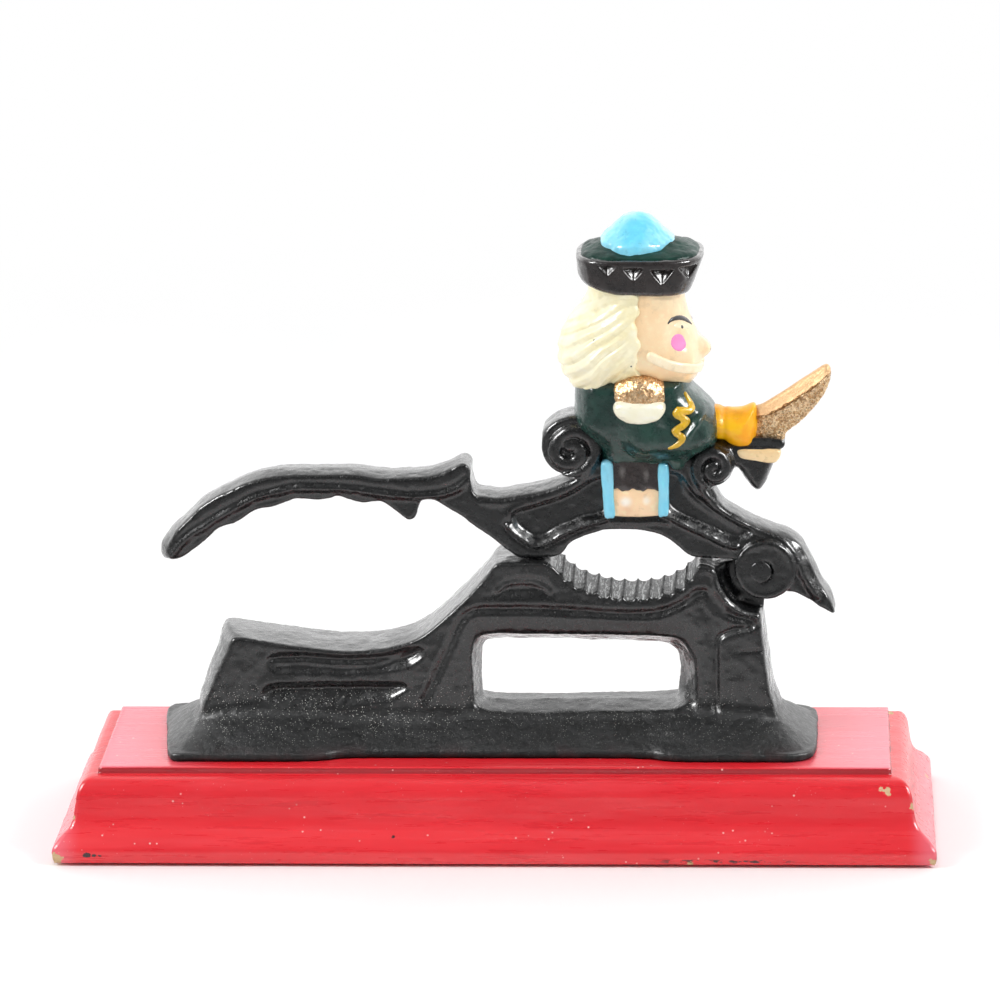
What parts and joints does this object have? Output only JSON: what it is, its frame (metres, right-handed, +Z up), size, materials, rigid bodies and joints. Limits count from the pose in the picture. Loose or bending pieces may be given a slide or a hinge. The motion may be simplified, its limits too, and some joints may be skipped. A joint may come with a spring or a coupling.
{
  "type": "nutcracker",
  "caption": "Table-top lever nutcracker: cast-iron stand with a ribbed nut cup on a wooden plinth, and a hinged iron lever carrying a painted toy-soldier figure.",
  "frame": {"origin": "centre of the footprint, at the undersides of the felt pads", "axes": "+Z up, +X along the plinth from the handle's end towards the pivot, -Y is the front face"},
  "size_m": [0.26, 0.0824, 0.188],
  "materials": {
    "red_paint": "gloss red paint over wood, worn at the edges",
    "black_iron": "gloss black enamel over a sand-cast surface",
    "steel": "dull dark steel",
    "zinc": "zinc plated",
    "felt": "felt",
    "figure_green": "dark green enamel",
    "hat_black": "brown-black enamel",
    "light_blue": "light blue enamel",
    "cream": "cream enamel",
    "skin": "flesh enamel",
    "gold": "gold glitter paint",
    "cuff_orange": "orange-yellow enamel",
    "trim_yellow": "yellow raised trim",
    "cheek_pink": "pink enamel",
    "feature_black": "black enamel line work"
  },
  "bodies": {
    "base": {"plinth": "red_paint", "stand_casting": "black_iron", "foot_screw_left": "zinc", "foot_screw_right": "zinc", "foot_washer_left": "zinc", "foot_washer_right": "zinc", "pad_front_left": "felt", "pad_front_right": "felt", "pad_back_left": "felt", "pad_back_right": "felt"},
    "lever": {"lever_casting": "black_iron", "pivot_pin": "steel"}
  },
  "joints": [
    {"name": "lever_hinge", "type": "hinge", "parent": "base", "child": "lever", "pos_m": [0.0787, 0, 0.0806], "axis": [0, 1, 0], "range_deg": [0, 50]}
  ]
}
